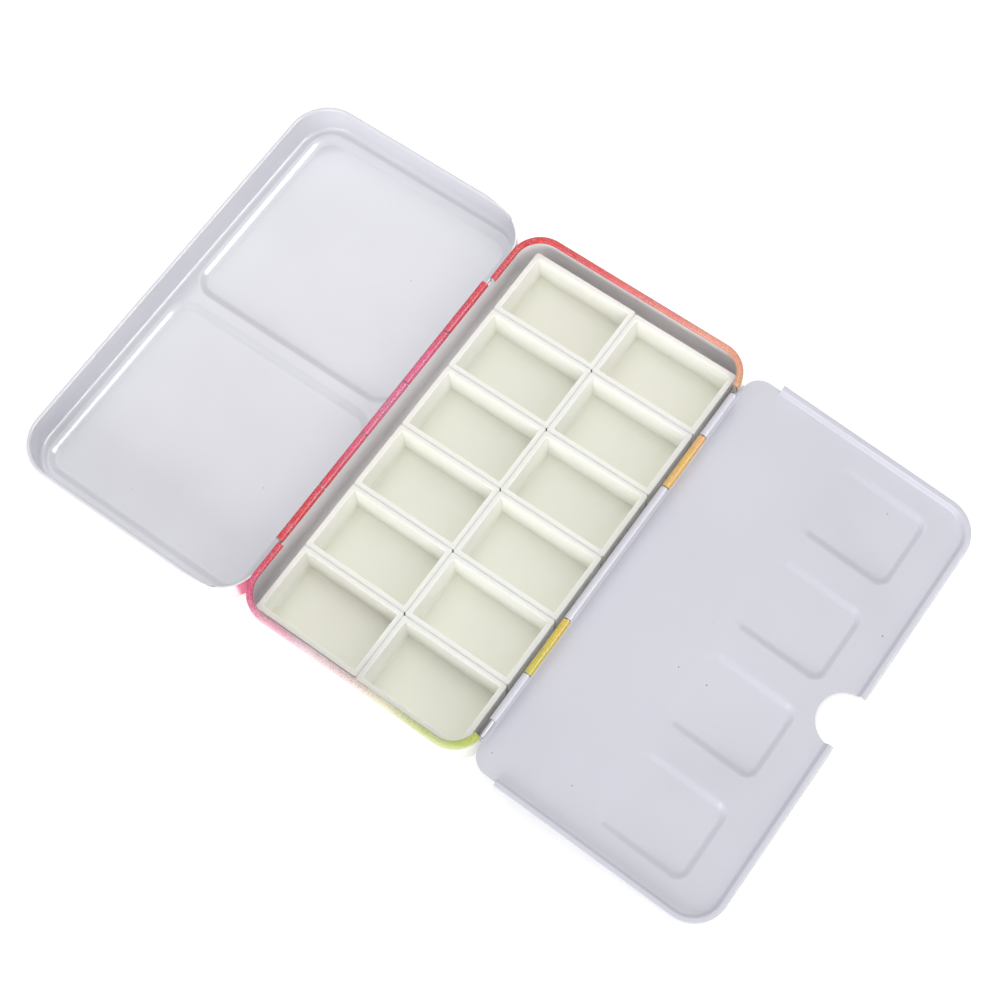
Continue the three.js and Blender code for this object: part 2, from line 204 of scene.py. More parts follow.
def sweep(path, profile):
    # A profile of (inset, height) rows carried along a path: path point - inset * normal.
    points, normals = path
    profile = np.asarray(profile, float)
    flat = points[None] - profile[:, 0, None, None] * normals[None]
    heights = np.broadcast_to(profile[:, 1, None, None], flat.shape[:2] + (1,))
    return np.concatenate([flat, heights], -1)


def shrunkRows(area, profile, steps):
    # Like sweep, but for insets larger than the corner radius, which then stays just open.
    rows = []
    for inset, height in profile:
        smaller = {
            "left": area["left"] + inset,
            "right": area["right"] - inset,
            "bottom": area["bottom"] + inset,
            "top": area["top"] - inset,
            "radius": max(area["radius"] - inset, support),
        }
        rows.append(np.insert(roundedPath(smaller, steps)[0], 2, height, axis=1))
    return np.array(rows)


def between(path, side, low, high, centreX=0):
    # Which stretches between neighbouring path points lie on a side, from low to high.
    points = path[0]
    middle = (points + np.roll(points, -1, axis=0)) / 2
    onSide = (middle[:, 0] - centreX) * side > 0
    return onSide & (middle[:, 1] > low) & (middle[:, 1] < high)


def fingerStretches(middle, lengths):
    # Low and high ends: running sums of the lengths about the middle, less half a gap.
    ends = middle - sum(lengths) / 2 + np.concatenate([[0], np.cumsum(lengths)])
    return [(low + gap / 2, high - gap / 2) for low, high in zip(ends[:-1], ends[1:])]


def fingerProfile():
    # The inner face of the sheet rolled round the wire, from its free end to the wall, as
    # (inset, height above the axis) pairs from the wall's outer face.
    wallAngle = -90 - np.degrees(np.arcsin((metal["wallToAxis"] + sheet) / fingerInner))
    roll = arc((0, 0), fingerInner, 90 + metal["sweepPastTop"], wallAngle, metal["rollSteps"])
    return np.stack([-metal["wallToAxis"] - roll[:, 0], roll[:, 1]], -1)


def pressedSlope(rows):
    # Inset and depth shares of a pressed slope: depth = (1 - cos(pi * inset)) / 2
    share = np.linspace(0, 1, rows)
    return share, (1 - np.cos(np.pi * share)) / 2


tray = {
    "length": 123,
    "width": 68.2,
    "height": 13,  # to the top of the fingers
    "cornerRadius": 8.5,
    "footRadius": 1.5,
    "rimDiameter": 1.7,
    "rimSweep": 235,  # degrees that the rim is rolled
    "lidFingers": (-0.8, [16.9] * 5),  # middle and lengths along the hinge
    "lidRimGap": (-43.6, 43.3),
    "flapFingers": (0.7, [13.6, 16.3, 40.8, 16.3, 13.6]),
    "flapRimGap": (-54.4, 52.9),
}
axisHeight = tray["height"] - fingerOuter
axisX = tray["width"] / 2 + metal["wallToAxis"]
hingeSpan = 2 * axisX
lidStretches = fingerStretches(*tray["lidFingers"])
flapStretches = fingerStretches(*tray["flapFingers"])


def makeTray(materials):
    # Wall, rim and finger profiles carried round one rounded rectangle: path - inset * normal.
    # The floor is the flat inside the wall's last row.
    area = {
        "left": -tray["width"] / 2,
        "right": tray["width"] / 2,
        "bottom": -tray["length"] / 2,
        "top": tray["length"] / 2,
        "radius": tray["cornerRadius"],
    }
    trayFingers = lidStretches[1::2], flapStretches[1::2]
    marks = {
        "left": [*tray["lidRimGap"], *np.ravel(trayFingers[0])],
        "right": [*tray["flapRimGap"], *np.ravel(trayFingers[1])],
    }
    path = roundedPath(area, metal["cornerSteps"], marks)
    rimRadius = tray["rimDiameter"] / 2
    rimTop = tray["height"] - rimRadius
    slotHeight = axisHeight - slotDrop
    foot = tray["footRadius"]
    rim = arc((rimRadius, rimTop), rimRadius - sheet, 180 - tray["rimSweep"], 180, metal["rollSteps"])
    fingers = fingerProfile() + np.array([0, axisHeight])
    turn = arc((foot, foot), foot - sheet, 180, 270, metal["footSteps"])
    wall = np.concatenate([[(sheet, slotHeight)], turn, [(foot + support, sheet)]])
    skin = newSkin()
    wallIndex = addPoints(skin, sweep(path, wall))
    rimIndex = addPoints(skin, sweep(path, rim))
    fingerIndex = addPoints(skin, sweep(path, fingers))
    lidGap = between(path, -1, *tray["lidRimGap"])
    flapGap = between(path, 1, *tray["flapRimGap"])
    addFaces(skin, wallIndex)
    addFaces(skin, np.concatenate([rimIndex, wallIndex[:1]]), ~(lidGap | flapGap))
    for side, stretches in zip((-1, 1), trayFingers):
        for low, high in stretches:
            columns = between(path, side, low, high)
            addFaces(skin, np.concatenate([fingerIndex, wallIndex[:1]]), columns)
    addFlat(skin, wallIndex[-1])
    piece = skinMesh("tray_pressing", skin)
    thicken(piece, materials)
    return piece


tableGap = 0.1  # air left under the point that is tilted down to the table


def droopToTable(reach, depth):
    # Tilt that brings a point down to the table: arcsin(drop / distance) - arctan(depth / reach)
    drop = axisHeight - tableGap
    return np.arcsin(drop / np.hypot(reach, depth)) - np.arctan2(depth, reach)


def hangFrom(jointName, angle):
    # A turn about y, then a shift to the joint's place in the frame.
    joint = next(joint for joint in frame["joints"] if joint["name"] == jointName)
    axis = Vector(joint["pos_m"]) / mm
    return Matrix.Translation(axis) @ Matrix.Rotation(angle, 4, "Y")


lid = {
    "shallower": 2.5,  # than the tray
    "rimDrop": 0.4,
    "beadDiameter": 1.1,
    "beadSweep": 250,
    "beadStart": 15,
    "beadTaper": 9,  # the bead shrinks over this length at its hinge end
    "beadLeast": 0.02,  # share of the bead that is left there
    "cornerEase": 1.5,
    "wellDepth": 1.3,
    "ledgeWidth": 2.2,
    "wellSlope": 2.6,
    "wellCornerRadius": 6.5,
    "dividerWidth": 2.4,
    "wellRows": 14,
}


def makeLid(materials):
    # Made like the tray. The bead is edge + fullness * (bead - edge), with the fullness
    # 1 - (x - start) / taper, and each well is a pressed slope carried round its rim.
    halfLength = tray["length"] / 2 + gap + sheet
    area = {
        "left": -(hingeSpan + fingerOuter + gap) - sheet,
        "right": -metal["wallToAxis"],
        "bottom": -halfLength,
        "top": halfLength,
        "radius": tray["cornerRadius"] + lid["cornerEase"] + sheet,
    }
    fingers = lidStretches[0::2]
    start = [-lid["beadStart"]]
    path = roundedPath(
        area,
        metal["cornerSteps"],
        {"right": np.ravel(fingers), "top": start, "bottom": start},
    )
    top = -lid["rimDrop"]
    beadRadius = lid["beadDiameter"] / 2
    lowest = top - (tray["height"] - lid["shallower"])
    ledge = lowest + sheet + lid["wellDepth"]
    edge = top - lid["beadDiameter"]
    bead = arc((sheet - beadRadius, top - beadRadius), beadRadius, lid["beadSweep"], 0, metal["rollSteps"])
    foot = tray["footRadius"]
    turn = arc((foot, ledge - sheet + foot), foot - sheet, 180, 270, metal["footSteps"])
    wall = np.concatenate([[(sheet, edge)], turn, [(foot + support, ledge)]])
    skin = newSkin()
    wallIndex = addPoints(skin, sweep(path, wall))
    points = path[0]
    edgeRow = sweep(path, wall[:1])
    fullness = 1 - (points[:, 0] - start[0]) / lid["beadTaper"]
    fullness = np.clip(fullness, lid["beadLeast"], 1)[:, None]
    beadIndex = addPoints(skin, edgeRow + fullness * (sweep(path, bead) - edgeRow))
    fingerIndex = addPoints(skin, sweep(path, fingerProfile()))
    middleX = (points[:, 0] + np.roll(points[:, 0], -1)) / 2
    addFaces(skin, wallIndex)
    beaded = middleX < start[0] + lid["beadTaper"]
    addFaces(skin, np.concatenate([beadIndex, wallIndex[:1]]), beaded)
    for low, high in fingers:
        onHinge = between(path, 1, low, high, area["left"] / 2)
        addFaces(skin, np.concatenate([fingerIndex, wallIndex[:1]]), onHinge)
    insetShare, depthShare = pressedSlope(lid["wellRows"])
    rims = []
    for side in (-1, 1):
        ends = side * lid["dividerWidth"] / 2, side * (halfLength - sheet - lid["ledgeWidth"])
        well = {
            "left": area["left"] + sheet + lid["ledgeWidth"],
            "right": area["right"] - sheet - lid["ledgeWidth"],
            "bottom": min(ends),
            "top": max(ends),
            "radius": lid["wellCornerRadius"],
        }
        wellPath = roundedPath(well, metal["cornerSteps"])
        profile = np.stack([insetShare * lid["wellSlope"], ledge - depthShare * lid["wellDepth"]], -1)
        border = [(-support, ledge)]
        middle = [(lid["wellSlope"] + support, ledge - lid["wellDepth"])]
        index = addPoints(skin, sweep(wellPath, np.concatenate([border, profile, middle])))
        addFaces(skin, index)
        addFlat(skin, index[-1])
        rims.append(index[0])
    addFlat(skin, wallIndex[-1], rims)
    wellFar = -(area["left"] + sheet + lid["ledgeWidth"]) - lid["wellSlope"]
    droop = droopToTable(wellFar, -lowest)
    piece = skinMesh("lid_pressing", skin, hangFrom("lid_hinge", -droop))
    thicken(piece, materials)
    return piece


flap = {
    "reachGap": 1.1,
    "endInset": 0.1,
    "cornerEase": 0.8,
    "lipHeight": 1.5,
    "lipWidth": 2.3,
    "lipFlange": 1.2,
    "lipHem": 0.7,
    "hemReturn": 1,
    "hemSteps": 10,
    "lipRows": 10,
    "lipStart": 8.6,
    "hingeCornerRadius": 5,
    "bendRadius": 0.6,
    "bendSteps": 8,
    "notchRadius": 7,
    "notchInset": 1.1,
    "notchSteps": 48,
    "wellCount": 4,
    "wellPitch": 28.9,
    "wellWidth": 22,
    "wellNear": 30,
    "wellEndGap": 10.4,
    "wellDepth": 1.3,
    "wellSlope": 2.4,
    "restSlope": 2.2,  # slope and depth of the CAD's wells, which the flap's tilt follows
    "restDepth": 1.8,
    "wellCornerRadius": 4,
    "wellRows": 12,
}


def makeFlap(materials):
    # A lip carried round the far side, a wall along the hinge, and a plate between them.
    # A well's depth is share * depth * (x - near) / (floorEnd - near).
    reach = hingeSpan - flap["reachGap"]
    half = tray["length"] / 2 - flap["endInset"]
    corner = tray["cornerRadius"] + lid["cornerEase"] - flap["cornerEase"]
    top = -slotDrop
    face = top - flap["lipHeight"]
    under = face - sheet
    wellFar = reach - flap["wellEndGap"]
    floorEnd = wellFar - flap["wellSlope"]
    restEnd = wellFar - flap["restSlope"]
    droop = droopToTable(restEnd, flap["restDepth"] - under)
    wallX = metal["wallToAxis"]
    hingeEdge = wallX - under * np.tan(droop)
    bend = flap["bendRadius"]
    skin = newSkin()

    # Lip: folded hem, flange, slope down to the face. It runs round the far corners from
    # the finger notch to its start near the hinge.
    hem = flap["lipHem"] / 2
    slopeShare, fallShare = pressedSlope(flap["lipRows"])
    slope = np.stack([
        flap["lipFlange"] + slopeShare * (flap["lipWidth"] - flap["lipFlange"]),
        top - fallShare * flap["lipHeight"],
    ], -1)
    lip = np.concatenate([
        [(flap["hemReturn"], top - 2 * hem)],
        arc((hem, top - hem), hem, 270, 90, flap["hemSteps"]),
        [(flap["lipFlange"] - support, top)],
        slope,
        [(flap["lipWidth"] + support, face)],
    ])
    notchX = reach - flap["notchInset"]
    notchY = flap["notchRadius"]
    cornerArc = arc((reach - corner, half - corner), corner, 0, 90, metal["cornerSteps"])
    cornerOut = (cornerArc - [reach - corner, half - corner]) / corner
    upperPoints = np.vstack([[reach, notchY], cornerArc, [flap["lipStart"], half]])
    upperOut = np.vstack([[1, 0], cornerOut, [0, 1]])
    upper = sweep((upperPoints, upperOut), lip)
    upper[:, 0, 1] = np.sqrt(notchY ** 2 - (upper[:, 0, 0] - notchX) ** 2)
    lower = upper[:, ::-1] * [1, -1, 1]
    upperIndex = addPoints(skin, upper)
    lowerIndex = addPoints(skin, lower)
    addFaces(skin, upperIndex, closed=False)
    addFaces(skin, lowerIndex, closed=False)

    # Hinge side: the fingers, the leaning wall below them and its bend into the plate
    plateHalf = half - flap["lipFlange"]
    hingeCorner = flap["hingeCornerRadius"]
    bendHalf = plateHalf - hingeCorner
    fingers = flapStretches[0::2]
    marks = np.sort(np.concatenate([[-bendHalf, bendHalf], np.ravel(fingers)]))[::-1]
    hingeLine = np.stack([np.full(len(marks), wallX), marks], -1), np.tile([-1.0, 0], (len(marks), 1))
    bendCentre = hingeEdge + bend - wallX, under + bend
    wall = np.concatenate([
        [(sheet, top)],
        arc(bendCentre, bend - sheet, 180, 270, flap["bendSteps"]),
        [(bendCentre[0] + support, face)],
    ])
    wallIndex = addPoints(skin, sweep(hingeLine, wall))
    fingerIndex = addPoints(skin, sweep(hingeLine, fingerProfile()))
    addFaces(skin, wallIndex, closed=False)
    middleY = (marks[1:] + marks[:-1]) / 2
    for low, high in fingers:
        rows = np.concatenate([fingerIndex, wallIndex[:1]])
        addFaces(skin, rows, (middleY > low) & (middleY < high), closed=False)

    # Plate between them, with its hinge-side corners and the finger notch
    plateCorner = np.vstack([
        [flap["lipStart"], plateHalf],
        arc((hingeEdge + hingeCorner, bendHalf), hingeCorner, 90, 180, metal["cornerSteps"]),
    ])
    footX = reach - flap["lipWidth"] - support
    notchEnd = np.degrees(np.arccos((footX - notchX) / notchY))
    notch = arc((notchX, 0), notchY, 360 - notchEnd, notchEnd, flap["notchSteps"])[1:-1]
    upperCorner = addPoints(skin, np.insert(plateCorner, 2, face, axis=1))
    lowerCorner = addPoints(skin, np.insert(plateCorner[::-1] * [1, -1], 2, face, axis=1))
    notchIndex = addPoints(skin, np.insert(notch, 2, face, axis=1))
    outline = [wallIndex[-1], lowerCorner, lowerIndex[-1], notchIndex, upperIndex[-1], upperCorner]

    # Wells: each deepens evenly towards the far side
    insetShare, depthShare = pressedSlope(flap["wellRows"])
    rims = []
    for number in range(flap["wellCount"]):
        middle = (number - (flap["wellCount"] - 1) / 2) * flap["wellPitch"]
        well = {
            "left": flap["wellNear"],
            "right": wellFar,
            "bottom": middle - flap["wellWidth"] / 2,
            "top": middle + flap["wellWidth"] / 2,
            "radius": flap["wellCornerRadius"],
        }
        insets = np.concatenate([[-support], insetShare * flap["wellSlope"], [flap["wellSlope"] + support]])
        shares = np.concatenate([[0], depthShare, [1]])
        rows = sweep(roundedPath(well, metal["cornerSteps"]), np.stack([insets, insets], -1))
        ramp = (rows[:, :, 0] - flap["wellNear"]) / (floorEnd - flap["wellNear"])
        rows[:, :, 2] = face - shares[:, None] * flap["wellDepth"] * np.maximum(ramp, 0)
        index = addPoints(skin, rows)
        addFaces(skin, index)
        addFlat(skin, index[-1])
        rims.append(index[0])
    addFlat(skin, np.concatenate(outline), rims)
    piece = skinMesh("flap_pressing", skin, hangFrom("flap_hinge", droop))
    thicken(piece, materials)
    return piece


pan = {
    "wall": 1.3,
    "floor": 1.2,
    "cornerRadius": 0.65,
    "innerRadius": 0.5,
    "draft": 0.45,
    "innerDraft": 0.65,
    "rimBand": 1.4,  # upright part of the outside below the rim
    "rimProud": 0.07,
    "rimRadius": 0.02,
    "innerEdge": 0.15,
    "footRadius": 0.5,
    "fillet": 0.4,
    "cornerSteps": 8,
    "roundSteps": 5,
}


def makePan(node, plastic):
    # Rounded rectangles drawn in by (inset, height) rows, the outside joined to the inside
    # over the rim. The walls keep to the CAD node's box, and the rim stands proud of it.
    low, high = (np.array(point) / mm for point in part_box(node))
    area = {
        "left": low[0],
        "right": high[0],
        "bottom": low[1],
        "top": high[1],
        "radius": pan["cornerRadius"],
    }
    wall = pan["wall"]
    hollow = {
        "left": low[0] + wall,
        "right": high[0] - wall,
        "bottom": low[1] + wall,
        "top": high[1] - wall,
        "radius": pan["innerRadius"],
    }
    edge = pan["rimRadius"]
    innerEdge = pan["innerEdge"]
    proud = pan["rimProud"]
    foot = pan["footRadius"]
    fillet = pan["fillet"]
    steps = pan["roundSteps"]
    shoulder = high[2] - edge
    floor = low[2] + pan["floor"]
    outside = np.concatenate([
        [(pan["draft"] + foot + support, low[2])],
        arc((pan["draft"] + foot, low[2] + foot), foot, 270, 180, steps),
        [(-proud, high[2] - pan["rimBand"])],
        arc((edge - proud, shoulder), edge, 180, 90, steps),
        [(edge - proud + support, high[2])],
    ])
    inside = np.concatenate([
        [(-innerEdge - support, high[2])],
        arc((-innerEdge, high[2] - innerEdge), innerEdge, 90, 0, steps),
        arc((pan["innerDraft"] + fillet, floor + fillet), fillet, 180, 270, steps),
        [(pan["innerDraft"] + fillet + support, floor)],
    ])
    skin = newSkin()
    outer = addPoints(skin, shrunkRows(area, outside, pan["cornerSteps"]))
    inner = addPoints(skin, shrunkRows(hollow, inside, pan["cornerSteps"]))
    addFaces(skin, np.concatenate([outer, inner]))
    addFlat(skin, inner[-1])
    skin["faces"].append(np.array([outer[0][::-1]]))
    piece = skinMesh(node + "_moulding", skin)
    piece.data.materials.append(plastic)
    smoothShade(piece)
    return piece


wire = {"sides": 32, "endRound": 0.12, "endRows": 5}


def makeWire(node, name, steel):
    # A round bar along y: centre + radius * (cos, sin), its ends drawn in by a small round.
    low, high = (np.array(point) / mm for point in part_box(node))
    centre = (low + high) / 2
    ease = wire["endRound"]
    turn = np.radians(np.linspace(0, 90, wire["endRows"]))
    inward = ease * (1 - np.cos(turn))
    radii = wireRadius - ease + ease * np.sin(turn)
    along = np.concatenate([low[1] + inward, high[1] - inward[::-1]])[:, None]
    radii = np.concatenate([radii, radii[::-1]])[:, None]
    angles = np.linspace(2 * np.pi, 0, wire["sides"], endpoint=False)
    points = np.stack([
        centre[0] + radii * np.cos(angles),
        np.broadcast_to(along, (len(along), wire["sides"])),
        centre[2] + radii * np.sin(angles),
    ], -1)
    skin = newSkin()
    index = addPoints(skin, points)
    addFaces(skin, index)
    skin["faces"].append(np.array([index[0][::-1]]))
    skin["faces"].append(np.array([index[-1]]))
    piece = skinMesh(name, skin)
    piece.data.materials.append(steel)
    smoothShade(piece)
    return piece


# Nodes for the materials: inputs are values, or sockets to link.
def addNode(tree, kind, inputs=None, **settings):
    node = tree.nodes.new(kind)
    for name, value in settings.items():
        setattr(node, name, value)
    fillInputs(tree, node, inputs or {})
    return node


def fillInputs(tree, node, inputs):
    for name, value in inputs.items():
        if isinstance(value, bpy.types.NodeSocket):
            tree.links.new(value, node.inputs[name])
        else:
            node.inputs[name].default_value = value


def maths(tree, operation, *values):
    node = addNode(tree, "ShaderNodeMath", dict(enumerate(values)), operation=operation)
    return node.outputs[0]


noiseRange = (0.3, 0.7)  # where most values of a noise lie


def noise(tree, place, scale, detail=2.0, roughness=0.5):
    inputs = {"Vector": place, "Scale": scale, "Detail": detail, "Roughness": roughness}
    return addNode(tree, "ShaderNodeTexNoise", inputs).outputs["Fac"]


def stretched(tree, place, turn, scale):
    inputs = {"Vector": place, "Rotation": turn, "Scale": scale}
    return addNode(tree, "ShaderNodeMapping", inputs).outputs[0]


def remap(tree, value, low, high, toLow=0.0, toHigh=1.0):
    inputs = {"Value": value, "From Min": low, "From Max": high, "To Min": toLow, "To Max": toHigh}
    return addNode(tree, "ShaderNodeMapRange", inputs).outputs[0]


def mixed(tree, factor, first, second):
    node = addNode(tree, "ShaderNodeMix", data_type="RGBA")
    fillInputs(tree, node, {0: factor, 6: first, 7: second})
    return node.outputs[2]


def scaledColour(tree, colour, amount):
    node = addNode(tree, "ShaderNodeVectorMath", {0: colour, "Scale": amount}, operation="SCALE")
    return node.outputs[0]


def colourRamp(tree, factor, stops):
    node = addNode(tree, "ShaderNodeValToRGB", {"Fac": factor})
    elements = node.color_ramp.elements
    elements[0].position, elements[0].color = stops[0]
    elements[1].position, elements[1].color = stops[-1]
    for position, colour in stops[1:-1]:
        elements.new(position).color = colour
    return node.outputs["Color"]


def screenColour(red, green, blue):
    # Screen values from 0 to 255 as linear light: ((value + 0.055) / 1.055) to the power 2.4
    value = np.array([red, green, blue]) / 255
    return (*(((value + 0.055) / 1.055) ** 2.4).tolist(), 1.0)


def newGroup(name, inputs, outputs):
    group = bpy.data.node_groups.new(name, "ShaderNodeTree")
    for label, value in inputs.items():
        kind = {float: "Float", tuple: "Vector"}[type(value)]
        kind = "Color" if kind == "Vector" and len(value) == 4 else kind
        socket = group.interface.new_socket(label, in_out="INPUT", socket_type="NodeSocket" + kind)
        socket.default_value = value
    for label, kind in outputs.items():
        group.interface.new_socket(label, in_out="OUTPUT", socket_type="NodeSocket" + kind)
    source = group.nodes.new("NodeGroupInput").outputs
    return group, source, group.nodes.new("NodeGroupOutput")


def useGroup(tree, group, inputs):
    node = tree.nodes.new("ShaderNodeGroup")
    node.node_tree = group
    fillInputs(tree, node, inputs)
    return node.outputs


paint = {
    "clouds": {"scale": 22.0, "detail": 3.0},
    "speckChance": 0.8,  # random value that a cell needs to hold a speck
    "smudges": {"scale": 60.0, "detail": 5.0, "roughness": 0.65},
    "smudgeRange": (0.42, 0.72),
    "waves": {"scale": 45.0, "detail": 1.0},
    "peel": {"scale": 1400.0, "detail": 1.0},
}


# Sprayed or moulded surface: soft clouds in its colour, a few tiny dark specks, dull
# smudges in its gloss and a fine unevenness. Towards the bottom the colour can be darkened
# as painted shade, down to the painted shade level at lowHeight.
def makePaintGroup():
    group, source, target = newGroup(
        "paintSurface",
        {
            "place": (0.0, 0.0, 0.0),
            "colour": (0.8, 0.8, 0.8, 1.0),
            "speckColour": (0.3, 0.3, 0.32, 1.0),
            "specksPerMetre": 260.0,
            "speckSize": 0.05,
            "clouds": 0.04,
            "roughness": 0.3,
            "smudges": 0.15,
            "unevenness": 0.02,
            "lowHeight": 0.0,
            "highHeight": 0.001,
            "paintedShadeLevel": 1.0,
        },
        {"colour": "Color", "roughness": "Float", "height": "Float"},
    )
    place = source["place"]
    inputs = {"Vector": place, "Scale": source["specksPerMetre"], "Randomness": 1.0}
    cells = addNode(group, "ShaderNodeTexVoronoi", inputs)
    chance = addNode(group, "ShaderNodeSeparateColor", {"Color": cells.outputs["Color"]})
    size = maths(group, "MULTIPLY", chance.outputs["Green"], source["speckSize"])
    inside = maths(group, "LESS_THAN", cells.outputs["Distance"], size)
    chosen = maths(group, "GREATER_THAN", chance.outputs["Red"], paint["speckChance"])
    speck = maths(group, "MULTIPLY", inside, chosen)
    cloud = remap(group, noise(group, place, **paint["clouds"]), *noiseRange, -1.0, 1.0)
    # Painted shade: the colour's level goes from the painted shade level at lowHeight up to 1 at highHeight
    rise = addNode(group, "ShaderNodeSeparateXYZ", {0: place}).outputs["Z"]
    heightShade = addNode(group, "ShaderNodeMapRange", {
        "Value": rise,
        "From Min": source["lowHeight"],
        "From Max": source["highHeight"],
        "To Min": source["paintedShadeLevel"],
    }).outputs[0]
    level = maths(group, "MULTIPLY_ADD", cloud, source["clouds"], heightShade)
    colour = scaledColour(group, source["colour"], level)
    smudge = remap(group, noise(group, place, **paint["smudges"]), *paint["smudgeRange"])
    rough = maths(group, "MULTIPLY_ADD", smudge, source["smudges"], source["roughness"])
    waves = noise(group, place, **paint["waves"])
    peel = noise(group, place, **paint["peel"])
    height = maths(group, "MULTIPLY_ADD", peel, source["unevenness"], waves)
    fillInputs(group, target, {
        "colour": mixed(group, speck, colour, source["speckColour"]),
        "roughness": rough,
        "height": height,
    })
    return group


inks = {
    "rose": (230, 110, 150),
    "crimson": (224, 60, 90),
    "red": (224, 45, 50),
    "pink": (232, 90, 140),
    "blush": (238, 205, 215),
    "cream": (232, 224, 200),
    "lime": (185, 205, 90),
    "yellow": (228, 202, 64),
    "orange": (236, 188, 95),
    "salmon": (238, 158, 138),
    "coral": (232, 96, 100),
}

# Ink by the angle round the tin's middle, 0 towards +x, 90 towards +y
printColours = [
    (-180, inks["rose"]),
    (-150, inks["crimson"]),
    (-130, inks["red"]),
    (-120, inks["pink"]),
    (-100, inks["blush"]),
    (-80, inks["cream"]),
    (-60, inks["lime"]),
    (-40, inks["yellow"]),
    (0, inks["orange"]),
    (40, inks["orange"]),
    (70, inks["salmon"]),
    (95, inks["coral"]),
    (120, inks["red"]),
    (140, inks["crimson"]),
    (160, inks["pink"]),
    (180, inks["rose"]),
]

crayon = {
    "wobble": {"scale": 90.0, "detail": 3.0, "roughness": 0.6},
    "wobbleShare": 0.014,  # of a whole turn
    "streakTurn": 30,
    "streakStretch": (1.0, 0.4, 1.0),
    "streaks": {"scale": 5200.0, "detail": 2.0, "roughness": 0.6},
    "grain": {"scale": 5000.0, "detail": 1.0, "roughness": 0.6},
    "patches": {"scale": 160.0, "detail": 2.0},
    "patchRange": (0.35, 0.65),
    "patchLeast": 0.45,
    "lightRange": (0.55, 0.6),
    "lightColour": (0.95, 0.88, 0.86, 1.0),
    "lightShare": 0.3,
    "darkRange": (0.52, 0.58),
    "darkColour": (0.1, 0.03, 0.03, 1.0),
    "darkTint": 0.35,
    "darkLevel": 0.4,
    "darkShare": 0.8,
    "paleShare": 0.12,  # ink that is left in the pale part
    "roughness": (0.3, 0.48),
}


# Crayon-like print: the colour goes round the tin with the angle about its middle, broken
# by streaks and flecks, strong at the rim and fading to near white down the wall. On the
# tray that pale lower wall is a painted reflection of the white table in the glossy tin.
def makePrintGroup():
    group, source, target = newGroup(
        "crayonPrint",
        {
            "place": (0.0, 0.0, 0.0),
            "centre": (0.0, 0.0, 0.0),
            "fadeAxis": (0.0, 0.0, 1.0),
            "fadeLow": 0.009,
            "fadeHigh": 0.0115,
            "raggedness": 0.004,
            "paleTint": (0.85, 0.85, 0.85, 1.0),
        },
        {"colour": "Color", "roughness": "Float", "height": "Float"},
    )
    place = source["place"]
    inputs = {0: place, 1: source["centre"]}
    local = addNode(group, "ShaderNodeVectorMath", inputs, operation="SUBTRACT").outputs[0]
    parts = addNode(group, "ShaderNodeSeparateXYZ", {0: local}).outputs
    angle = maths(group, "ARCTAN2", parts["Y"], parts["X"])
    turnShare = maths(group, "MULTIPLY_ADD", angle, 1 / (2 * np.pi), 0.5)
    wobble = remap(
        group,
        noise(group, place, **crayon["wobble"]),
        *noiseRange,
        -crayon["wobbleShare"],
        crayon["wobbleShare"],
    )
    blended = maths(group, "ADD", turnShare, wobble)
    stops = [(degrees / 360 + 0.5, screenColour(*colour)) for degrees, colour in printColours]
    base = colourRamp(group, blended, stops)
    streakTurn = (0.0, 0.0, np.radians(crayon["streakTurn"]))
    streakPlace = stretched(group, place, streakTurn, crayon["streakStretch"])
    streaks = noise(group, streakPlace, **crayon["streaks"])
    grain = noise(group, place, **crayon["grain"])
    patchNoise = noise(group, place, **crayon["patches"])
    patches = remap(group, patchNoise, *crayon["patchRange"], crayon["patchLeast"], 1.0)
    lightSpots = remap(group, streaks, *crayon["lightRange"])
    darkSpots = remap(group, grain, *crayon["darkRange"])
    lightFlecks = maths(group, "MULTIPLY", lightSpots, patches)
    darkFlecks = maths(group, "MULTIPLY", darkSpots, patches)
    lightShare = maths(group, "MULTIPLY", lightFlecks, crayon["lightShare"])
    darkShare = maths(group, "MULTIPLY", darkFlecks, crayon["darkShare"])
    lightened = mixed(group, lightShare, base, crayon["lightColour"])
    dimmed = scaledColour(group, base, crayon["darkLevel"])
    deep = mixed(group, crayon["darkTint"], dimmed, crayon["darkColour"])
    printed = mixed(group, darkShare, lightened, deep)
    inputs = {0: place, 1: source["fadeAxis"]}
    along = addNode(group, "ShaderNodeVectorMath", inputs, operation="DOT_PRODUCT").outputs["Value"]
    aside = maths(group, "SUBTRACT", streaks, 0.5)
    ragged = maths(group, "MULTIPLY_ADD", aside, source["raggedness"], along)
    # Where the print is weak the colour goes to paleTint: on the tray's lower wall a painted reflection of
    # the white table
    strength = addNode(group, "ShaderNodeMapRange", {
        "Value": ragged, "From Min": source["fadeLow"], "From Max": source["fadeHigh"],
    }, interpolation_type="SMOOTHSTEP").outputs[0]
    pale = mixed(group, crayon["paleShare"], source["paleTint"], base)
    fillInputs(group, target, {
        "colour": mixed(group, strength, pale, printed),
        "roughness": remap(group, streaks, *noiseRange, *crayon["roughness"]),
        "height": streaks,
    })
    return group


def finishSurface(tree, shader, colour, roughness, height, bumpDistance):
    inputs = {"Strength": 1.0, "Distance": bumpDistance, "Height": height}
    bump = addNode(tree, "ShaderNodeBump", inputs)
    fillInputs(tree, shader, {
        "Base Color": colour,
        "Roughness": roughness,
        "Normal": bump.outputs[0],
    })


def startMaterial(name):
    material = bpy.data.materials.new(name)
    material.use_nodes = True
    tree = material.node_tree
    place = addNode(tree, "ShaderNodeTexCoord").outputs["Object"]
    return material, tree, tree.nodes["Principled BSDF"], place


scatterDepth = 0.5  # how far light spreads inside the pans' plastic


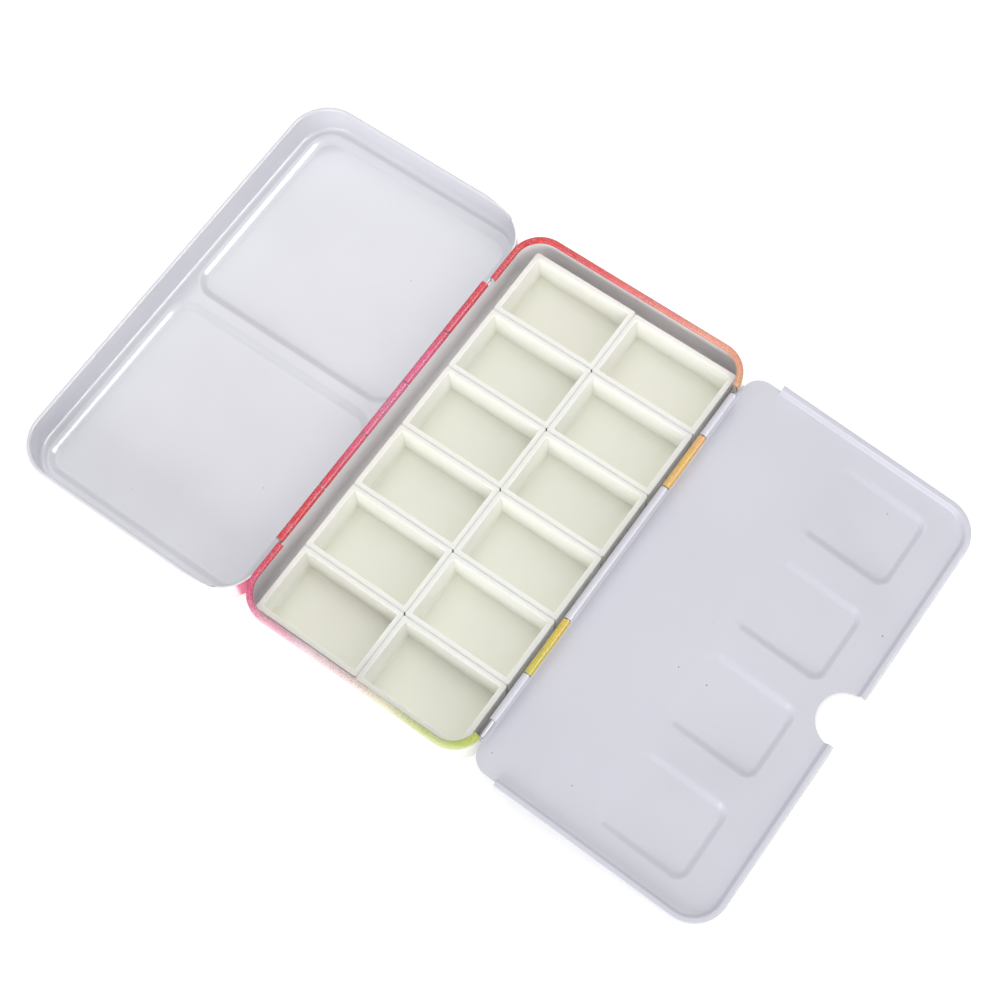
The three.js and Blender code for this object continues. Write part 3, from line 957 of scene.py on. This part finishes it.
def coatedMaterial(group, name, settings):
    material, tree, shader, place = startMaterial(name)
    shader.inputs["Subsurface Weight"].default_value = settings.get("scatter", 0)
    shader.inputs["Subsurface Radius"].default_value = (1, 1, 1)  # all colours alike
    shader.inputs["Subsurface Scale"].default_value = scatterDepth * mm
    shader.inputs["Coat Weight"].default_value = settings["coat"]
    shader.inputs["Coat Roughness"].default_value = settings["coatRoughness"]
    shader.inputs["Specular IOR Level"].default_value = settings.get("gloss", 0.5)
    out = useGroup(tree, group, {"place": place, **settings["surface"]})
    finishSurface(
        tree, shader, out["colour"], out["roughness"], out["height"], settings["bumpDistance"]
    )
    return material


def wireMaterial(settings):
    # Drawn wire: fine scratches along y
    material, tree, shader, place = startMaterial("drawnSteel")
    shader.inputs["Metallic"].default_value = 1
    drawn = stretched(tree, place, (0.0, 0.0, 0.0), settings["stretch"])
    scratches = noise(tree, drawn, **settings["scratches"])
    dull = noise(tree, place, **settings["dullness"])
    colour = mixed(tree, dull, settings["dark"], settings["bright"])
    roughness = remap(tree, scratches, *noiseRange, *settings["roughness"])
    finishSurface(tree, shader, colour, roughness, scratches, settings["bumpDistance"])
    return material


paintGroup = makePaintGroup()
printGroup = makePrintGroup()

enamelLook = {
    "coat": 0.8,
    "coatRoughness": 0.1,
    "bumpDistance": 0.00025,
    "surface": {
        "colour": screenColour(217, 217, 224),
        "roughness": 0.3,
        "smudges": 0.12,
        "specksPerMetre": 220.0,
        "speckSize": 0.05,
    },
}
enamel = coatedMaterial(paintGroup, "whiteEnamel", enamelLook)

paletteLook = {
    "coat": 0.35,
    "coatRoughness": 0.18,
    "bumpDistance": 0.0002,
    "surface": {
        "colour": screenColour(206, 206, 216),
        "roughness": 0.34,
        "smudges": 0.12,
        "specksPerMetre": 260.0,
        "speckSize": 0.07,
    },
}
palette = coatedMaterial(paintGroup, "paletteEnamel", paletteLook)

trayInsideLook = {
    "coat": 0.4,
    "coatRoughness": 0.15,
    "bumpDistance": 0.0002,
    "surface": {
        "colour": screenColour(249, 247, 250),
        "roughness": 0.34,
        "specksPerMetre": 220.0,
        "speckSize": 0.04,
    },
}
trayInside = coatedMaterial(paintGroup, "trayEnamel", trayInsideLook)

plasticLook = {
    "gloss": 0.3,
    "scatter": 1.0,
    "coat": 0.0,
    "coatRoughness": 0.3,
    "bumpDistance": 0.0001,
    "surface": {
        "colour": screenColour(249, 249, 239),
        "speckColour": screenColour(120, 112, 96),
        "roughness": 0.36,
        "smudges": 0.15,
        "clouds": 0.02,
        # Painted shade: the pans darken to 0.9 of their colour towards their floors, between these heights
        # in metres
        "lowHeight": 0.0016,
        "highHeight": 0.0042,
        "paintedShadeLevel": 0.9,
        "specksPerMetre": 180.0,
        "speckSize": 0.035,
    },
}
plastic = coatedMaterial(paintGroup, "ivoryPlastic", plasticLook)

printLook = {"gloss": 0.1, "coat": 0.6, "coatRoughness": 0.08, "bumpDistance": 0.00002}
# Painted reflection: on the tray's outer wall the print pales to this near white, standing in for the white
# table mirrored in the glossy tin
trayPrintLook = {**printLook, "surface": {"paleTint": screenColour(250, 250, 245)}}
lidPrintLook = {
    **printLook,
    "surface": {
        "paleTint": screenColour(250, 247, 248),
        "fadeAxis": (1.0, 0.0, 0.0),  # strong on the wall and fingers at the hinge, pale elsewhere
        "fadeLow": -0.0366,
        "fadeHigh": -0.0358,
        "raggedness": 0.0005,
    },
}
trayPrint = coatedMaterial(printGroup, "trayPrint", trayPrintLook)
lidPrint = coatedMaterial(printGroup, "lidPrint", lidPrintLook)

wireLook = {
    "dark": screenColour(150, 150, 155),
    "bright": screenColour(205, 206, 210),
    "stretch": (1.0, 0.02, 1.0),
    "scratches": {"scale": 9000.0, "detail": 3.0},
    "dullness": {"scale": 120.0, "detail": 3.0},
    "roughness": (0.22, 0.42),
    "bumpDistance": 0.00001,
}
steel = wireMaterial(wireLook)
print("materials ready")

pieces = [
    (makeTray([trayInside, trayPrint, steel]), "tray", "base_tray", "printed_tin"),
    (makeLid([enamel, lidPrint, steel]), "lid", "lid_shell", "white_enamel"),
    (makeFlap([palette, palette, palette]), "flap", "palette_flap", "palette_enamel"),
    (makeWire("lid_hinge_pin", "lid_wire", steel), "tray", "lid_hinge_pin", "steel_wire"),
    (makeWire("flap_hinge_pin", "flap_wire", steel), "tray", "flap_hinge_pin", "steel_wire"),
]
for node in sorted(frame["nodes"]):
    if node.startswith("pan_"):
        pieces.append((makePan(node, plastic), node, node, "ivory_plastic"))
for piece, body, node, slotName in pieces:
    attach(piece, body)
    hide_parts(node)
print("pieces ready:", len(pieces))


# Table and light
lights = {
    "sky": 0.45,
    "lamps": {
        "gleam": {
            "azimuth": 114,
            "elevation": 41,
            "size": (440, 240),
            "power": 4.6,
            "distance": 900,
            "fill": False,  # it only makes highlights
        },
        "side": {
            "azimuth": 88,
            "elevation": 46,
            "size": (900, 700),
            "power": 1.7,
            "distance": 900,
            "fill": True,
        },
        "front": {
            "azimuth": 8,
            "elevation": 15,
            "size": (2000, 1000),
            "power": 24,
            "distance": 1800,
            "fill": True,
        },
        "back": {
            "azimuth": 215,
            "elevation": 61,
            "size": (850, 750),
            "power": 2.8,
            "distance": 900,
            "fill": True,
        },
    },
    "tableColour": (0.86, 0.86, 0.865),
    "tableRoughness": 0.9,
    "tableGloss": 0.1,
    "tableGlow": 0.42,  # what the camera and reflections see on top of the lit table
    "tableDrop": 0.02,  # below the tin
    "tableReach": 3000,
}


def emissionShare(tree, paths):
    # 1 for the rays named, 0 for all others
    path = addNode(tree, "ShaderNodeLightPath").outputs
    share = path[paths[0]]
    for name in paths[1:]:
        share = maths(tree, "MAXIMUM", share, path[name])
    return share


def makeTable():
    reach = lights["tableReach"]
    edge = np.array([[-1, -1], [1, -1], [1, 1], [-1, 1]]) * reach
    skin = newSkin()
    corners = addPoints(skin, np.insert(edge.astype(float), 2, -lights["tableDrop"], axis=1))
    skin["faces"].append(corners[None])
    table = skinMesh("table", skin)
    material = bpy.data.materials.new("tableTop")
    material.use_nodes = True
    tree = material.node_tree
    shader = tree.nodes["Principled BSDF"]
    shader.inputs["Base Color"].default_value = (*lights["tableColour"], 1)
    shader.inputs["Roughness"].default_value = lights["tableRoughness"]
    shader.inputs["Specular IOR Level"].default_value = lights["tableGloss"]
    shader.inputs["Emission Color"].default_value = (1, 1, 1, 1)
    share = emissionShare(tree, ["Is Camera Ray", "Is Glossy Ray"])
    glow = maths(tree, "MULTIPLY", share, lights["tableGlow"])
    tree.links.new(glow, shader.inputs["Emission Strength"])
    table.data.materials.append(material)


def makeSky():
    world = bpy.data.worlds.new("studio")
    bpy.context.scene.world = world
    world.use_nodes = True
    tree = world.node_tree
    share = emissionShare(tree, ["Is Camera Ray", "Is Glossy Ray", "Is Transmission Ray"])
    strength = remap(tree, share, 0.0, 1.0, lights["sky"], 1.0)
    background = tree.nodes["Background"]
    background.inputs["Color"].default_value = (1, 1, 1, 1)
    tree.links.new(strength, background.inputs["Strength"])


def makeLamp(name, settings):
    # Towards the lamp: (sin az cos el, -cos az cos el, sin el), azimuth 0 being the front
    azimuth, elevation = np.radians([settings["azimuth"], settings["elevation"]])
    away = Vector((
        np.sin(azimuth) * np.cos(elevation),
        -np.cos(azimuth) * np.cos(elevation),
        np.sin(elevation),
    ))
    lamp = bpy.data.lights.new(name, "AREA")
    lamp.shape = "RECTANGLE"
    lamp.size, lamp.size_y = (size * mm for size in settings["size"])
    lamp.energy = settings["power"]
    holder = bpy.data.objects.new(name, lamp)
    holder.location = away * settings["distance"] * mm
    holder.rotation_euler = (-away).to_track_quat("-Z", "Y").to_euler()
    holder.visible_diffuse = settings["fill"]
    bpy.context.scene.collection.objects.link(holder)


photoView = {
    "azimuth": 42.848,
    "elevation": 68.187,
    "roll": -7.463,
    "distance": 466.476,
    "target": (2.533, -3.254, 9.0),
    "focalPixels": 1919.8,  # focal length in pixels of the square photograph
    "imagePixels": 1000,
    "sensor": 36,
}


def makeCamera():
    # Looks back along the same direction as makeLamp's, turned by the roll about it.
    angles = [photoView[key] for key in ("azimuth", "elevation", "roll")]
    azimuth, elevation, roll = np.radians(angles)
    back = Vector((
        np.sin(azimuth) * np.cos(elevation),
        -np.cos(azimuth) * np.cos(elevation),
        np.sin(elevation),
    ))
    level = Vector((np.cos(azimuth), np.sin(azimuth), 0))
    upright = back.cross(level)
    right = level * np.cos(roll) + upright * np.sin(roll)
    up = back.cross(right)
    lens = bpy.data.cameras.new("photoCamera")
    lens.sensor_width = photoView["sensor"]
    lens.lens = photoView["focalPixels"] / photoView["imagePixels"] * photoView["sensor"]
    camera = bpy.data.objects.new("photoCamera", lens)
    place = (Vector(photoView["target"]) + back * photoView["distance"]) * mm
    turn = Matrix((right, up, back)).transposed().to_4x4()
    camera.matrix_world = Matrix.Translation(place) @ turn
    bpy.context.scene.collection.objects.link(camera)
    bpy.context.scene.camera = camera


makeTable()
makeSky()
for lampName, lampSettings in lights["lamps"].items():
    makeLamp(lampName, lampSettings)
makeCamera()
bpy.context.scene.view_settings.view_transform = "Standard"
print("light and camera ready")
